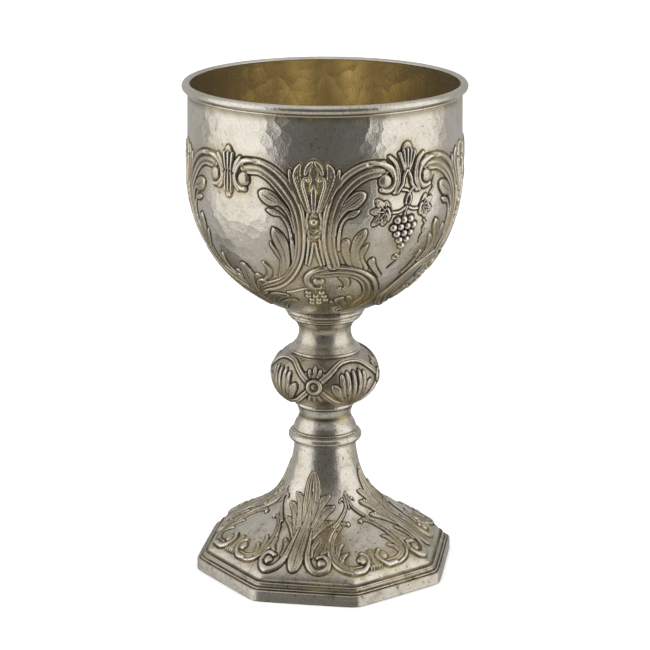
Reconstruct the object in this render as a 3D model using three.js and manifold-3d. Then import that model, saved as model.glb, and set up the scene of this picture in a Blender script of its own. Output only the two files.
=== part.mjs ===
// A chased silver chalice with a gilt inside: a raised bowl with a rolled lip, a turned collar,
// a chased knop, a turned spool with a ring, and a hollow octagonal foot with a moulded edge.
// Millimetres, +Z up. The origin is the centre of the underside, and -Y is the front,
// where the foot and the knop each have the middle of a motif.
import * as THREE from "three";
import { mergeVertices } from "three/addons/utils/BufferGeometryUtils.js";
import Module from "manifold-3d";

const wasm = await Module();
wasm.setup();

// Driving dimensions: heights above the table
const HEIGHT = 200;
const BOWL_SEAT_Z = 109;
const KNOP_TOP_Z = 90.2;
const KNOP_BOTTOM_Z = 69.6;
const FOOT_TOP_Z = 51.6;

// Bowl: a half ellipse under a nearly straight wall, with a rolled lip and a thin reed below it
const BOWL_RADIUS = 54.2;
const BOWL_DEPTH = 58.5;
const BOWL_EQUATOR_Z = 165;
const BOWL_TOP_RADIUS = 53.7;
const BOWL_WALL = 1.4;
const BOWL_INNER_DEPTH = 54.4;
const LIP_ROLL = 1.7;
const REED_ROLL = 0.55;

// Stem: the collar over the knop, the knop, and the spool with its ring
const NECK_RADIUS = 10.5;
const COLLAR_TOP_RADIUS = 16.1;
const COLLAR_LIP_RADIUS = 14.3;
const KNOP_CORE_RADIUS = 10.8;
const KNOP_SWELL = 10.7;
const KNOP_MIDDLE_Z = 80.5;
const KNOP_HALF_HEIGHT = 10.9;
const SPOOL_TOP_RADIUS = 12.2;
const RING_RADIUS = 14.9;
const RING_ROLL = 2;

// Foot: an octagon, measured across its flats, that turns round towards the neck
const FOOT_FLATS = 100.4;
const FOOT_WALL = 1.6;
const RIM_WIDTH = 5;
const FOOT_NECK_RADIUS = 12.5;
const FOOT_SIDES = 8;
const ROUND_ABOVE_Z = 38;
const OCTAGON_BELOW_Z = 18;
const FOOT_MOTIF_TURN_DEG = -8;

// Chasing: how far it stands proud, and how deep each raised piece is let into its surface
const RELIEF = 1.3;
const LET_IN = 0.8;

// The bowl's five panels are laid out by hand, from the strut on the left of the front one.
const PANEL_SPANS = [75, 78, 69, 69, 69];
const FIRST_STRUT_DEG = -160.5;
const DRAWN_SPAN = 76;
const GRAPE_PANELS = [1, 3];

const LATHE_SEGMENTS = 28;
const STEM_SEGMENTS = 16;
const FOOT_SEGMENTS = 16;

const v2 = (x, y) => new THREE.Vector2(x, y);

// Solids: a geometry becomes a manifold solid for joining, and comes back as a geometry.

function toSolid(geometry) {
  const bare = new THREE.BufferGeometry();
  bare.setAttribute("position", geometry.getAttribute("position"));
  bare.setIndex(geometry.getIndex());
  const merged = mergeVertices(bare, 1e-4);
  return new wasm.Manifold(
    new wasm.Mesh({
      numProp: 3,
      vertProperties: merged.attributes.position.array,
      triVerts: new Uint32Array(merged.index.array),
    }),
  );
}

function toGeometry(solid) {
  const { vertProperties, triVerts } = solid.getMesh();
  const geometry = new THREE.BufferGeometry();
  geometry.setAttribute("position", new THREE.BufferAttribute(vertProperties, 3));
  geometry.setIndex(new THREE.BufferAttribute(triVerts, 1));
  geometry.computeVertexNormals();
  return geometry;
}

function indexed(points, triangles) {
  const geometry = new THREE.BufferGeometry().setFromPoints(points);
  return geometry.setIndex(triangles);
}

const join = (base, raised) => raised.reduce((whole, piece) => whole.add(piece), base);

// A turned piece: its outline runs from the axis at the bottom round to the axis at the top.
function turned(outline, segments) {
  return toSolid(new THREE.LatheGeometry(outline, segments).rotateX(Math.PI / 2));
}

// Points on an arc of a profile, in degrees, both ends included.
function arc(radius, z, roll, fromDeg, toDeg, steps) {
  return Array.from({ length: steps + 1 }, (_, i) => {
    const a = THREE.MathUtils.degToRad(fromDeg + ((toDeg - fromDeg) * i) / steps);
    return v2(radius + roll * Math.cos(a), z + roll * Math.sin(a));
  });
}

// Points on an ellipse about the bowl's equator, from the radius nearest the axis up to the equator.
function bowlEllipse(radius, depth, startRadius, steps) {
  const start = Math.asin(startRadius / radius);
  return Array.from({ length: steps + 1 }, (_, i) => {
    const a = start + ((Math.PI / 2 - start) * i) / steps;
    return v2(radius * Math.sin(a), BOWL_EQUATOR_Z - depth * Math.cos(a));
  });
}

// Ornamented surfaces: a motif is drawn on a flat sheet, in millimetres at a reference radius, where
// x runs round the axis and v up the surface. The sheet keeps angles, so round scrolls stay round.

class Surface {
  constructor(profile, reference, zeroZ, spread = () => 1) {
    this.reference = reference;
    this.spread = spread;
    this.profile = profile;
    this.v = [0];
    for (let i = 1; i < profile.length; i++) {
      const meanRadius = (profile[i].x + profile[i - 1].x) / 2;
      const step = profile[i].distanceTo(profile[i - 1]);
      this.v.push(this.v[i - 1] + (step * reference) / meanRadius);
    }
    const zero = this.v[profile.findIndex((p) => p.y >= zeroZ)];
    this.v = this.v.map((v) => v - zero);
  }

  // Radius, height and outward normal of the profile at v.
  at(v) {
    const last = this.v.length - 2;
    const found = this.v.findIndex((value) => value > v) - 1;
    const i = found < -1 ? last : THREE.MathUtils.clamp(found, 0, last);
    const t = (v - this.v[i]) / (this.v[i + 1] - this.v[i]);
    const p = this.profile[i].clone().lerp(this.profile[i + 1], t);
    const along = this.profile[i + 1].clone().sub(this.profile[i]).normalize();
    return { radius: p.x, z: p.y, normal: v2(along.y, -along.x) };
  }

  // How many millimetres of metal one millimetre of the drawing covers at v.
  scale(v) {
    return this.at(v).radius / this.reference;
  }

  point(angle, v, lift) {
    const { radius, z, normal } = this.at(v);
    const r = radius * this.spread(angle, z) + lift * normal.x;
    return new THREE.Vector3(r * Math.cos(angle), r * Math.sin(angle), z + lift * normal.y);
  }
}

// A place for a motif on a surface: the angle of its middle, and how far each half is drawn in or out.
function spot(surface, angleDeg, leftSqueeze = 1, rightSqueeze = leftSqueeze, mirrored = false) {
  const middle = THREE.MathUtils.degToRad(angleDeg);
  return (x, v, lift) => {
    const side = mirrored ? -x : x;
    const squeeze = side < 0 ? leftSqueeze : rightSqueeze;
    return surface.point(middle + (side * squeeze) / surface.reference, v, lift);
  };
}

// A raised stroke: a ridge through the points of a path, with its half width at the start, middle and end.
function stroke(surface, place, mirrored, { path, half, height = RELIEF }) {
  const curve = new THREE.SplineCurve(path.map(([x, v]) => v2(x, v)));
  const [from, middle, to] = half;
  const section = [[1, -LET_IN], [0, height], [-1, -LET_IN]];
  const steps = path.length - 1;
  const points = [];
  for (let i = 0; i <= steps; i++) {
    const t = i / steps;
    const p = curve.getPoint(t);
    const along = curve.getTangent(t);
    const width = from * (1 - t) * (1 - 2 * t) + middle * 4 * t * (1 - t) + to * t * (2 * t - 1);
    const reach = width / surface.scale(p.y);
    for (const [side, lift] of section) {
      points.push(place(p.x - along.y * side * reach, p.y + along.x * side * reach, lift));
    }
  }
  const triangles = [0, 2, 1];
  for (let i = 0; i < steps; i++) {
    for (let j = 0; j < section.length; j++) {
      const [a, b] = [3 * i + j, 3 * i + ((j + 1) % 3)];
      triangles.push(a, b, b + 3, a, b + 3, a + 3);
    }
  }
  const end = 3 * steps;
  triangles.push(end, end + 1, end + 2);
  return toSolid(indexed(points, mirrored ? triangles.reverse() : triangles));
}

// A raised point with a few sides, such as a grape, a boss or the eye of a scroll. Lobes make it a leaf.
function knob(surface, place, mirrored, { centre, radius, height = RELIEF, sides = 5, lobed = 1 }) {
  const [x, v] = centre;
  const reach = radius / surface.scale(v);
  const points = [];
  for (let i = 0; i < sides; i++) {
    const a = (2 * Math.PI * i) / sides;
    const r = reach * (i % 2 ? lobed : 1);
    points.push(place(x + r * Math.cos(a), v + r * Math.sin(a), -LET_IN));
  }
  points.push(place(x, v, -LET_IN), place(x, v, height));
  const [under, top] = [sides, sides + 1];
  const triangles = [];
  for (let i = 0; i < sides; i++) {
    const next = (i + 1) % sides;
    triangles.push(i, next, top, next, i, under);
  }
  return toSolid(indexed(points, mirrored ? triangles.reverse() : triangles));
}

// A motif is a list of strokes and knobs, set at a spot. A piece may have a mirrored twin, a motif may be turned over.
function raise(surface, motif, angleDeg, leftSqueeze = 1, rightSqueeze = leftSqueeze, turnedOver = false) {
  return motif.flatMap((piece) =>
    (piece.twin ? [false, true] : [turnedOver]).map((mirrored) => {
      const place = spot(surface, angleDeg, leftSqueeze, rightSqueeze, mirrored);
      return (piece.path ? stroke : knob)(surface, place, mirrored, piece);
    }),
  );
}

// Bowl

// Scrolls climb beside each strut and roll over into a volute. Both halves of a panel face its middle.
const SHANK = [[4.6, -13], [6.4, -1], [14, 7.4]];
const VOLUTE = [[23, 10.8], [29.4, 9.4], [31, 5], [27.4, 2.8]];
const SCROLL_TOP = [...SHANK, ...VOLUTE];
const LOWER_SCROLL = [[30, -64], [31.4, -52], [24, -38], [11, -31], [0, -33], [-2.4, -38.4], [1.4, -40]];
const GRAPE_SIDE_MOTIF = [
  { path: [[7, -27], ...SCROLL_TOP], half: [2, 2.9, 1.4] },
  { path: LOWER_SCROLL, half: [2, 2.9, 1.5] },
  { path: [[6.5, -15], [9.4, -5.6], [19, 1.6]], half: [0.9, 2.6, 0.3] },
  { path: [[15, -29], [15.4, -20], [19.6, -12.8]], half: [1.2, 2.6, 0.3] },
];
const VACANT_SIDE_MOTIF = [
  { path: [[31, -50.5], [20, -43.6], [8.2, -30], ...SCROLL_TOP], half: [2.6, 2.8, 1.4] },
  { path: [[7, -13], [10, -5.6], [21.4, 1.6]], half: [0.9, 2.6, 0.3] },
  { path: [[14.6, -37], [12.6, -26], [16.4, -12.4]], half: [1.2, 2.6, 0.3] },
  { path: [[36, -58], [36.6, -44], [35.6, -32]], half: [1.2, 3, 0.3] },
];
const STRUT_MOTIF = [
  { path: [[1.6, -5], [5.6, 8], [0.8, 13.6]], half: [0.9, 2, 0.7], twin: true },
  { centre: [0, -10], radius: 3, sides: 6 },
];
const CLOSING_LEAF_MOTIF = [{ path: [[0, -34], [0, -52], [0, -74]], half: [1.2, 5, 0.4] }];

// Between two volutes: a fan over a pendant, and on some panels a bunch of grapes with two vine leaves.
const FAN_MOTIF = [{ path: [[0, -1.5], [0, 8], [0, 17]], half: [0.5, 2.8, 0.7] }];
const GRAPE_ROWS = [[-10.3, 3], [-13.2, 4], [-16.1, 3], [-19, 2], [-21.9, 1]];
const GRAPE_PITCH = 2.95;
const GRAPES = GRAPE_ROWS.flatMap(([v, count]) =>
  Array.from({ length: count }, (_, i) => ({
    centre: [(i - (count - 1) / 2) * GRAPE_PITCH, v],
    radius: GRAPE_PITCH / 2,
    height: RELIEF * 1.3,
    sides: 4,
  })),
);
const GRAPE_MOTIF = [
  ...GRAPES,
  { path: [[0, 1.5], [0, -10]], half: [0.7, 0.7, 0.7] },
  { centre: [10.6, -6.6], radius: 4.8, height: 0.8, sides: 8, lobed: 0.55, twin: true },
];

function bowl() {
  const seatRadius = BOWL_RADIUS * Math.sqrt(1 - ((BOWL_EQUATOR_Z - BOWL_SEAT_Z) / BOWL_DEPTH) ** 2);
  const lipZ = HEIGHT - LIP_ROLL;
  const reedZ = lipZ - LIP_ROLL - REED_ROLL;
  const wallTopZ = reedZ - REED_ROLL;
  const innerRadius = BOWL_RADIUS - BOWL_WALL;
  const body = turned(
    [
      v2(0, BOWL_SEAT_Z),
      ...bowlEllipse(BOWL_RADIUS, BOWL_DEPTH, seatRadius, 5),
      v2(BOWL_TOP_RADIUS, wallTopZ),
      ...arc(BOWL_TOP_RADIUS, reedZ, REED_ROLL, -60, 60, 2),
      ...arc(BOWL_RADIUS, lipZ, LIP_ROLL, -90, 180, 6),
      v2(innerRadius, BOWL_EQUATOR_Z),
      ...bowlEllipse(innerRadius, BOWL_INNER_DEPTH, 0, 4).reverse().slice(1),
    ],
    LATHE_SEGMENTS,
  );
  const outside = [...bowlEllipse(BOWL_RADIUS, BOWL_DEPTH, seatRadius, 160), v2(BOWL_TOP_RADIUS, wallTopZ)];
  const surface = new Surface(outside, BOWL_RADIUS, BOWL_EQUATOR_Z);
  const count = PANEL_SPANS.length;
  const raised = [];
  let strut = FIRST_STRUT_DEG;
  PANEL_SPANS.forEach((span, i) => {
    const before = PANEL_SPANS[(i + count - 1) % count];
    const squeeze = span / DRAWN_SPAN;
    const grapes = GRAPE_PANELS.includes(i);
    const side = grapes ? GRAPE_SIDE_MOTIF : VACANT_SIDE_MOTIF;
    const middle = strut + span / 2;
    raised.push(...raise(surface, STRUT_MOTIF, strut, before / DRAWN_SPAN, squeeze));
    raised.push(...raise(surface, side, strut, squeeze));
    raised.push(...raise(surface, side, strut + span, squeeze, squeeze, true));
    raised.push(...raise(surface, FAN_MOTIF, middle, squeeze));
    if (grapes) raised.push(...raise(surface, GRAPE_MOTIF, middle, squeeze));
    if (!grapes && !GRAPE_PANELS.includes((i + count - 1) % count)) {
      raised.push(...raise(surface, CLOSING_LEAF_MOTIF, strut, squeeze));
    }
    strut += span;
  });
  return join(body, raised);
}

// Stem

function collar() {
  const neckZ = 98.4;
  const lipRoll = 0.7;
  const waist = [
    v2(COLLAR_LIP_RADIUS, KNOP_TOP_Z + 1.7),
    v2(11.5, 94.7),
    v2(NECK_RADIUS, neckZ),
    v2(11.2, 101.4),
    v2(13, 103.8),
  ];
  const scotia = new THREE.SplineCurve(waist).getPoints(5);
  return turned(
    [
      v2(0, KNOP_TOP_Z),
      ...arc(COLLAR_LIP_RADIUS - lipRoll, KNOP_TOP_Z + lipRoll, lipRoll, -90, 20, 1),
      ...scotia,
      ...arc(14, 105.2, 0.8, -40, 50, 1),
      ...arc(COLLAR_TOP_RADIUS - 1.2, BOWL_SEAT_Z - 1.2, 1.2, -80, 90, 3),
      v2(0, BOWL_SEAT_Z),
    ],
    STEM_SEGMENTS,
  );
}

const knopRadius = (z) =>
  KNOP_CORE_RADIUS + KNOP_SWELL * Math.sqrt(Math.max(0, 1 - ((z - KNOP_MIDDLE_Z) / KNOP_HALF_HEIGHT) ** 2));

function knopOutline(steps) {
  return Array.from({ length: steps + 1 }, (_, i) => {
    const z = KNOP_MIDDLE_Z - (KNOP_MIDDLE_Z - KNOP_BOTTOM_Z) * Math.cos((Math.PI * i) / steps);
    const clamped = Math.min(z, KNOP_TOP_Z);
    return v2(knopRadius(clamped), clamped);
  }).filter((p, i, all) => i === 0 || p.distanceTo(all[i - 1]) > 1e-6);
}

// Ribbons cross at four ring bosses and arch over four leaves.
const RIBBON_RELIEF = 0.8;
const KNOP_BOSS_MOTIF = [
  { centre: [0, 1], radius: 3.4, sides: 6 },
  { path: [[1.6, 2.6], [8, 9], [17, 11.4]], half: [1.2, 1.4, 1.2], height: RIBBON_RELIEF, twin: true },
];
const KNOP_LEAF_MOTIF = [
  { path: [[0, -8], [0, 0], [0, 8]], half: [1.2, 2.4, 0.5] },
  { path: [[1.6, -7.5], [5.4, -1.6], [8.6, 3.4]], half: [0.9, 2.2, 0.4], twin: true },
];
const KNOP_REPEATS = 4;
const KNOP_MOTIF_TURN_DEG = -2.7;

function knop() {
  const outline = knopOutline(8);
  const body = turned([v2(0, KNOP_BOTTOM_Z), ...outline, v2(0, KNOP_TOP_Z)], STEM_SEGMENTS);
  const surface = new Surface(knopOutline(120), KNOP_CORE_RADIUS + KNOP_SWELL, KNOP_MIDDLE_Z);
  const raised = [];
  for (let i = 0; i < KNOP_REPEATS; i++) {
    const boss = -90 + KNOP_MOTIF_TURN_DEG + (360 * i) / KNOP_REPEATS;
    raised.push(...raise(surface, KNOP_BOSS_MOTIF, boss));
    raised.push(...raise(surface, KNOP_LEAF_MOTIF, boss + 180 / KNOP_REPEATS));
  }
  return join(body, raised);
}

function spool() {
  const neckZ = 63;
  const ringZ = FOOT_TOP_Z + RING_ROLL + 0.9;
  const waist = [v2(12.9, 57.2), v2(12.3, 59.4), v2(NECK_RADIUS, neckZ), v2(10.9, 65.4), v2(11.5, 67)];
  const scotia = new THREE.SplineCurve(waist).getPoints(5);
  const beadRoll = (KNOP_BOTTOM_Z - 67.2) / 2;
  return turned(
    [
      v2(0, FOOT_TOP_Z),
      v2(RING_RADIUS - RING_ROLL, FOOT_TOP_Z),
      ...arc(RING_RADIUS - RING_ROLL, ringZ, RING_ROLL, -60, 75, 3),
      ...scotia,
      ...arc(SPOOL_TOP_RADIUS - beadRoll, 67.2 + beadRoll, beadRoll, -60, 90, 2),
      v2(0, KNOP_BOTTOM_Z),
    ],
    STEM_SEGMENTS,
  );
}

// Foot

const FIELD_BOTTOM = v2(45.6, 7.9);
const FIELD_MIDDLE = v2(26.6, 22.4);
const FOOT_NECK = v2(FOOT_NECK_RADIUS, FOOT_TOP_Z);
const SKIRT = new THREE.CubicBezierCurve(FIELD_BOTTOM, v2(42.5, 14.8), v2(34.5, 17), FIELD_MIDDLE);
const FLARE = new THREE.CubicBezierCurve(FIELD_MIDDLE, v2(18.2, 28.6), v2(13.4, 39), FOOT_NECK);

const fieldProfile = (steps) => [...SKIRT.getPoints(steps), ...FLARE.getPoints(steps).slice(1)];

// The hollow under the foot: the field's profile, moved in by the wall.
function hollowProfile() {
  const stations = [[SKIRT, 0], [SKIRT, 0.5], [FLARE, 0], [FLARE, 0.3], [FLARE, 0.7]];
  return stations.map(([curve, t]) => {
    const along = curve.getTangent(t);
    return curve.getPoint(t).add(v2(-along.y, along.x).multiplyScalar(FOOT_WALL));
  });
}

// How far the section stands out past its flats at an angle: an octagon low down, a circle at the neck.
function octagonSpread(angle, z) {
  const side = (2 * Math.PI) / FOOT_SIDES;
  const fromFlat = THREE.MathUtils.euclideanModulo(angle + side / 2, side) - side / 2;
  const share = 1 - THREE.MathUtils.smoothstep(z, OCTAGON_BELOW_Z, ROUND_ABOVE_Z);
  return 1 + (1 / Math.cos(fromFlat) - 1) * share;
}

// A closed body through rings of an octagonal outline, which starts and ends on the axis.
function octagonal(outline) {
  const rings = outline.slice(1, -1);
  const points = [];
  const triangles = [];
  for (const { x, y } of rings) {
    for (let i = 0; i < FOOT_SEGMENTS; i++) {
      const angle = (2 * Math.PI * i) / FOOT_SEGMENTS;
      const r = x * octagonSpread(angle, y);
      points.push(new THREE.Vector3(r * Math.cos(angle), r * Math.sin(angle), y));
    }
  }
  const [first, last] = [points.length, points.length + 1];
  points.push(new THREE.Vector3(0, 0, outline[0].y), new THREE.Vector3(0, 0, outline.at(-1).y));
  for (let i = 0; i < FOOT_SEGMENTS; i++) {
    const next = (i + 1) % FOOT_SEGMENTS;
    const end = (rings.length - 1) * FOOT_SEGMENTS;
    triangles.push(first, next, i, last, end + i, end + next);
    for (let k = 0; k < rings.length - 1; k++) {
      const [low, high] = [k * FOOT_SEGMENTS, (k + 1) * FOOT_SEGMENTS];
      triangles.push(low + i, low + next, high + next, low + i, high + next, high + i);
    }
  }
  return toSolid(indexed(points, triangles));
}

// An acanthus leaf between two volutes on one flat, and a cartouche of two scrolls on the next, by turns.
const FOOT_LEAF_MOTIF = [
  { path: [[0, 4], [0, 20], [0, 40], [0, 58], [0, 76]], half: [1.6, 3.6, 0.5] },
  { path: [[2, 15], [6, 32], [15.5, 52]], half: [1, 2.8, 0.4], twin: true },
  { path: [[2.6, 10], [8.6, 26], [18, 39]], half: [1, 2.8, 0.4], twin: true },
  { path: [[4.4, 16], [6, 5.4], [12.8, 5.6], [10, 10.8]], half: [1.2, 1.6, 1.2], twin: true },
];
const FOOT_SCROLL = [[1.4, 43], [10, 31], [15.2, 18], [13, 7.6], [7.4, 4.2], [3.6, 8.4]];
const FOOT_CARTOUCHE_MOTIF = [
  { path: FOOT_SCROLL, half: [0.9, 2, 1.2], twin: true },
  { path: [[0, 42], [0, 57]], half: [1.4, 1.2, 0.4] },
];

function foot() {
  const flat = FOOT_FLATS / 2;
  const bandZ = 3.6;
  const edge = [
    v2(flat, 0),
    v2(flat, bandZ),
    v2(flat - 0.6, bandZ + 0.6),
    v2(flat - 1.6, bandZ + 0.5),
    v2(flat - 1.9, bandZ + 1.4),
    v2(flat - 2.7, bandZ + 2.8),
    v2(flat - 3.9, bandZ + 3.4),
  ];
  const outer = [v2(0, 0), ...edge, ...fieldProfile(3), v2(0, FOOT_TOP_Z)];
  const rim = flat - RIM_WIDTH;
  const hollow = [v2(0, -1), v2(rim, -1), v2(rim, bandZ), ...hollowProfile()];
  const shell = octagonal(outer).subtract(octagonal([...hollow, v2(0, hollow.at(-1).y)]));
  const surface = new Surface(fieldProfile(80), 40, FIELD_BOTTOM.y, octagonSpread);
  const raised = [];
  for (let side = 0; side < FOOT_SIDES; side++) {
    const motif = side % 2 ? FOOT_CARTOUCHE_MOTIF : FOOT_LEAF_MOTIF;
    raised.push(...raise(surface, motif, -90 + FOOT_MOTIF_TURN_DEG + (360 * side) / FOOT_SIDES));
  }
  return join(shell, raised);
}

// Assembly

function piece(name, solid, colour, roughness) {
  const material = new THREE.MeshStandardMaterial({ color: colour, roughness, metalness: 1 });
  const mesh = new THREE.Mesh(toGeometry(solid), material);
  mesh.name = name;
  return mesh;
}

const SILVER = 0xb9b4a6;
const WORN_SILVER = 0xa9a393;

const chalice = new THREE.Group();
chalice.name = "chalice";
chalice.add(
  piece("bowl", bowl(), SILVER, 0.28),
  piece("stem_collar", collar(), WORN_SILVER, 0.32),
  piece("knop", knop(), WORN_SILVER, 0.34),
  piece("stem_spool", spool(), WORN_SILVER, 0.32),
  piece("foot", foot(), SILVER, 0.34),
);

export default chalice;
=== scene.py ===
"""A chased silver chalice with a gilt inside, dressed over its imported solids.

Lengths are millimetres until a mesh is made. Each ornament is drawn on a flat sheet that keeps angles: x runs
round the axis at a reference radius, v runs up the surface. The sheet's heights then raise a fine grid.
"""

import math

import bpy
import numpy as np
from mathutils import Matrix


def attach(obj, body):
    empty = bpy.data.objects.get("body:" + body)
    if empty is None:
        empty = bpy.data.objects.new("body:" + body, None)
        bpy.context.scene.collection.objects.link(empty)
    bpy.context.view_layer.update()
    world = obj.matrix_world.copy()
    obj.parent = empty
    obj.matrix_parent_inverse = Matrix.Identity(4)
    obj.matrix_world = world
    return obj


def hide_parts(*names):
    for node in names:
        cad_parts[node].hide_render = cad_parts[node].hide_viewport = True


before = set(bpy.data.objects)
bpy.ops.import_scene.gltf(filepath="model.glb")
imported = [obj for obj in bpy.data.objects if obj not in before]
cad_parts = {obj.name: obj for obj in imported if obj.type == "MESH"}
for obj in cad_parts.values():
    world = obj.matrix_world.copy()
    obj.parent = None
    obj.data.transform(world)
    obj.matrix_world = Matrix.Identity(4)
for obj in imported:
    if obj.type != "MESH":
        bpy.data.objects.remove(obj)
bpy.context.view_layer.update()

MM = 0.001

# Heights above the table, the same as the solids'
HEIGHT = 200
BOWL_SEAT_Z = 109
KNOP_TOP_Z = 90.2
KNOP_BOTTOM_Z = 69.6
FOOT_TOP_Z = 51.6

# Bowl
BOWL_RADIUS = 54.2
BOWL_DEPTH = 58.5
BOWL_EQUATOR_Z = 165
BOWL_TOP_RADIUS = 53.7
BOWL_WALL = 1.4
BOWL_INNER_DEPTH = 54.4
LIP_ROLL = 1.7
REED_ROLL = 0.55
LIP_Z = HEIGHT - LIP_ROLL
REED_Z = LIP_Z - LIP_ROLL - REED_ROLL
WALL_TOP_Z = REED_Z - REED_ROLL
PANEL_SPANS = (75, 78, 69, 69, 69)
FIRST_STRUT_DEG = -160.5
DRAWN_SPAN = 76
GRAPE_PANELS = (1, 3)

# Stem
NECK_RADIUS = 10.5
COLLAR_TOP_RADIUS = 16.1
COLLAR_TOP_ROLL = 1.2
COLLAR_LIP_RADIUS = 14.3
COLLAR_LIP_ROLL = 0.7
COLLAR_WAIST_Z = 98.4
KNOP_CORE_RADIUS = 10.8
KNOP_SWELL = 10.7
KNOP_MIDDLE_Z = 80.5
KNOP_HALF_HEIGHT = 10.9
KNOP_REPEATS = 4
KNOP_MOTIF_TURN_DEG = -2.7
SPOOL_TOP_RADIUS = 12.2
SPOOL_BEAD_Z = 67.2
SPOOL_WAIST_Z = 63
RING_RADIUS = 14.9
RING_ROLL = 2

# Foot
FOOT_FLATS = 100.4
FOOT_WALL = 1.6
FOOT_RIM = 5
FOOT_NECK_RADIUS = 12.5
FIELD_BOTTOM = (45.6, 7.9)
FOOT_SIDES = 8
ROUND_ABOVE_Z = 38
OCTAGON_BELOW_Z = 18
CRISP_BELOW_Z = 6
FOOT_MOTIF_TURN_DEG = -8
FOOT_REFERENCE = 40
CORNER_SOFTNESS = 0.12
EDGE_WEAR = 0.03

# Drawing and meshing pitch
SHEET_PITCH = 0.14
MESH_PITCH = 0.42
BOWL_PITCH = 0.35
KNOP_PITCH = 0.8 * MESH_PITCH
NORMAL_REACH = 0.16

# Camera, fitted to the photograph
CAMERA_TURN_DEG = 9
CAMERA_DISTANCE = 851.6
CAMERA_HEIGHT = 352.4
CAMERA_PITCH_DEG = 16.49
FOCAL_PIXELS = 2205.9
PHOTO_PIXELS = 650
SENSOR_MM = 36


def smoothstep(value, low, high):
    t = np.clip((value - low) / (high - low), 0, 1)
    return t * t * (3 - 2 * t)


# Curves

def spline(points, pitch=0.35):
    """Points along a smooth curve through the given ones, about pitch apart."""
    p = np.asarray(points, float)
    if len(p) == 2:
        p = np.array([p[0], p.mean(0), p[1]])
    ends = np.vstack([2 * p[0] - p[1], p, 2 * p[-1] - p[-2]])
    curve = []
    for a, b, c, d in zip(ends, ends[1:], ends[2:], ends[3:]):
        count = max(2, int(np.linalg.norm(c - b) / pitch))
        t = (np.arange(count) / count)[:, None]
        curve.append(
            0.5 * (2 * b + (c - a) * t + (2 * a - 5 * b + 4 * c - d) * t**2 + (3 * b - a - 3 * c + d) * t**3)
        )
    return np.vstack([*curve, p[-1:]])


def resample(curve, count):
    """The same curve as count points, evenly spaced."""
    run = np.r_[0, np.cumsum(np.linalg.norm(np.diff(curve, axis=0), axis=1))]
    at = np.linspace(0, run[-1], count)
    return np.column_stack([np.interp(at, run, curve[:, 0]), np.interp(at, run, curve[:, 1])])


def three_widths(widths, count):
    """Half widths along a stroke, smoothly through those at its start, middle and end."""
    t = np.linspace(0, 1, count)
    start, middle, end = widths if hasattr(widths, "__len__") else (widths,) * 3
    return start * (1 - t) * (1 - 2 * t) + middle * 4 * t * (1 - t) + end * t * (2 * t - 1)


def arc(radius, z, roll, start_deg, end_deg, steps=14):
    a = np.radians(np.linspace(start_deg, end_deg, steps))
    return np.column_stack([radius + roll * np.cos(a), z + roll * np.sin(a)])


def bezier(a, b, c, d, count=60):
    t = np.linspace(0, 1, count)[:, None]
    a, b, c, d = (np.asarray(p, float) for p in (a, b, c, d))
    return a * (1 - t) ** 3 + 3 * b * t * (1 - t) ** 2 + 3 * c * t**2 * (1 - t) + d * t**3


# Cross sections of a raised stroke
#
# u is -1 and 1 at its two borders, and the result is its share of the height.

def bead(u):
    return np.sqrt(np.clip(1 - u**2, 0, 1))


def reeded(u):
    """Two thin beads with a groove between them."""
    return (0.5 + 0.5 * np.sin(np.pi * np.abs(u)) ** 1.2) * np.clip(1 - u**8, 0, 1)


def blade(u):
    """A leaf: a flat swell with a sunk vein along its middle and fainter ones on each side."""
    body = np.clip(1 - np.abs(u) ** 4, 0, 1) ** 0.6
    side = np.abs(u)
    veins = 0.4 * np.exp(-((u / 0.12) ** 2)) + 0.3 * np.exp(-(((side - 0.38) / 0.09) ** 2))
    return body - veins - 0.26 * np.exp(-(((side - 0.68) / 0.08) ** 2))


def strap(u):
    """A wide scroll: a strong bead on its outer border, a lower reed, and a thin bead on its inner one."""
    q = (1 + u) / 2
    outer = np.sin(np.pi * np.clip(q / 0.37, 0, 1)) ** 0.7
    reed = 0.66 * np.sin(np.pi * np.clip((q - 0.42) / 0.33, 0, 1)) ** 0.8
    inner = 0.6 * np.sin(np.pi * np.clip((q - 0.8) / 0.2, 0, 1)) ** 0.7
    web = np.where((q > 0.1) & (q < 0.97), 0.3, 0)
    return np.maximum.reduce([outer, reed, inner, web])


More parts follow.
